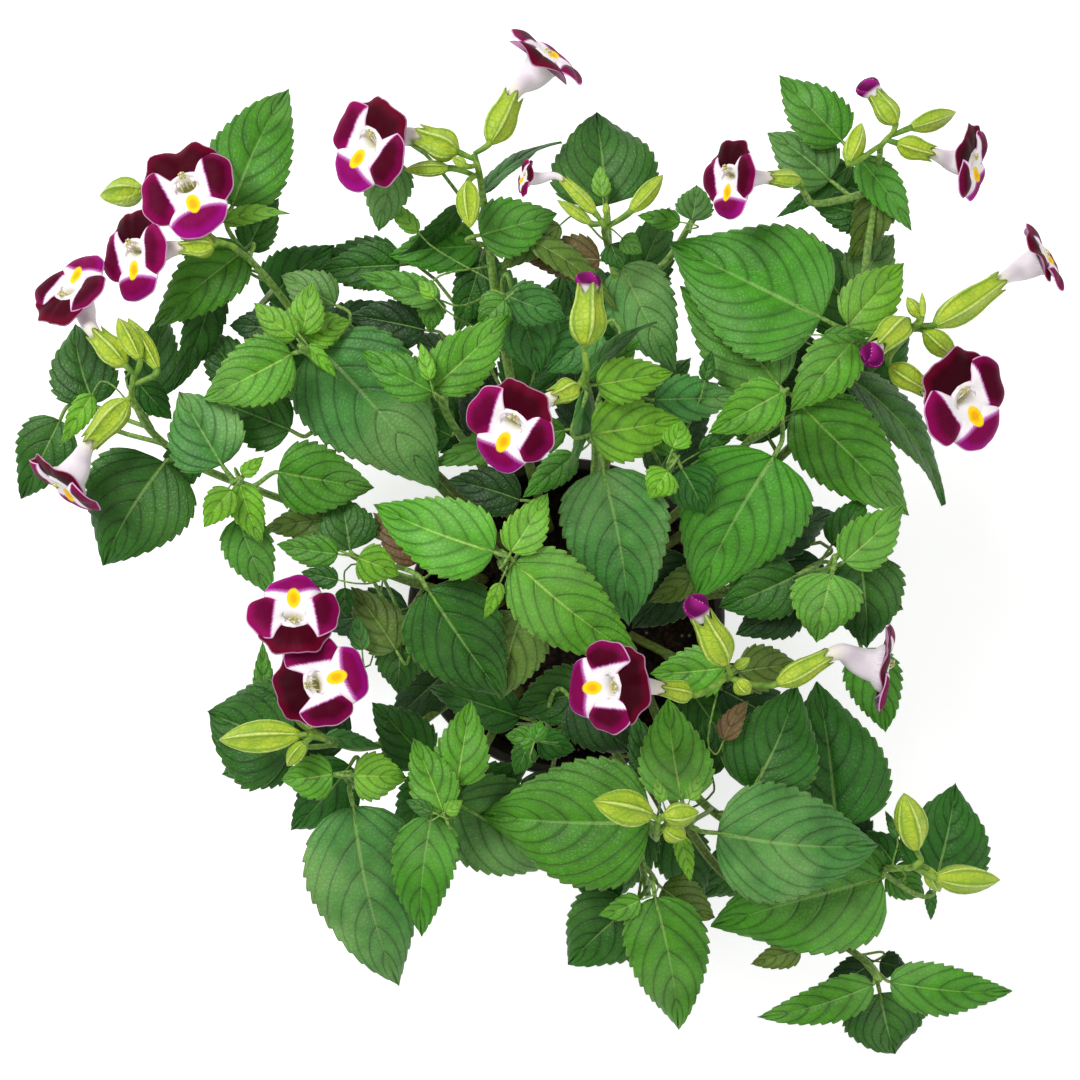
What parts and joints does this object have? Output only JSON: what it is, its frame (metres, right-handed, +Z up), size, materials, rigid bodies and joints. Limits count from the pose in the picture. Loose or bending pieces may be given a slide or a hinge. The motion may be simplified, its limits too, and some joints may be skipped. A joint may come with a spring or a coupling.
{
  "type": "potted wishbone flower",
  "caption": "Bushy potted wishbone flower: a round nursery pot with soil, leafy stems with toothed leaves, and purple and white flowers with a yellow blotch in lime green keeled calyces.",
  "frame": {"origin": "centre of the pot's flat underside, on the ground", "axes": "+Z up along the pot's axis; +Y is the top edge of the picture, which looks straight down; +X is its right edge"},
  "size_m": [0.3748, 0.3639, 0.2138],
  "materials": {
    "pot": "black-brown moulded plastic, satin",
    "soil": null,
    "leaf": null,
    "calyx": null,
    "petal": null
  },
  "bodies": {
    "root": {"pot": "pot", "soil": "soil", "corolla_a1": "petal", "corolla_a2": "petal", "corolla_b1": "petal", "corolla_b4": "petal", "corolla_d1": "petal", "corolla_d2": "petal", "corolla_e1": "petal", "corolla_f1": "petal", "corolla_g1": "petal", "corolla_g3": "petal", "corolla_h1": "petal", "corolla_h2": "petal", "corolla_h3": "petal", "corolla_i1": "petal", "corolla_i2": "petal", "corolla_j3": "petal", "corolla_j4": "petal", "corolla_k1": "petal", "corolla_k2": "petal", "corolla_k5": "petal", "raceme_a": "calyx", "raceme_b": "calyx", "raceme_d": "calyx", "raceme_e": "calyx", "raceme_f": "calyx", "raceme_g": "calyx", "raceme_h": "calyx", "raceme_i": "calyx", "raceme_j": "calyx", "raceme_k": "calyx", "raceme_m": "calyx", "raceme_n": "calyx", "stem_e": "leaf", "stem_k": "leaf", "stem_n": "leaf", "stem_n2": "leaf", "stem_ne": "leaf", "stem_nw": "leaf", "stem_s": "leaf", "stem_s1": "leaf", "stem_s2": "leaf", "stem_s3": "leaf", "stem_s4": "leaf", "stem_s5": "leaf", "stem_s6": "leaf", "stem_s7": "leaf", "stem_se": "leaf", "stem_sse": "leaf", "stem_sw": "leaf", "stem_swo": "leaf", "stem_w": "leaf"}
  },
  "joints": []
}
